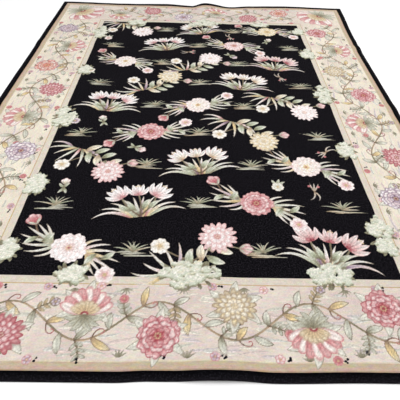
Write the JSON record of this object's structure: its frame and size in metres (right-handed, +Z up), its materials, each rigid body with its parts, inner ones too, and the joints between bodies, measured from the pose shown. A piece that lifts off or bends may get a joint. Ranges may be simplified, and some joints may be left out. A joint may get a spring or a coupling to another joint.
{
  "type": "needlepoint rug",
  "caption": "Large oblong needlepoint wool rug lying flat with soft fold ridges: a worked panel with a dark field and pale flowered border, edged by a sewn black band.",
  "frame": {"origin": "on the floor under the middle of the rug as it lies", "axes": "+Y along the rug's length, towards the end with the taller fold ridge; +Z up out of its worked face; X across it"},
  "size_m": [2.781, 3.662, 0.0394],
  "materials": {
    "worked_wool": "matte needlepoint wool in fine slanted stitches, a dark flowered field in an ivory border",
    "black_band": "matte black wool band"
  },
  "bodies": {
    "root": {"needlepoint_panel": "worked_wool", "binding_near": "black_band", "binding_far": "black_band", "binding_left": "black_band", "binding_right": "black_band"}
  },
  "joints": []
}
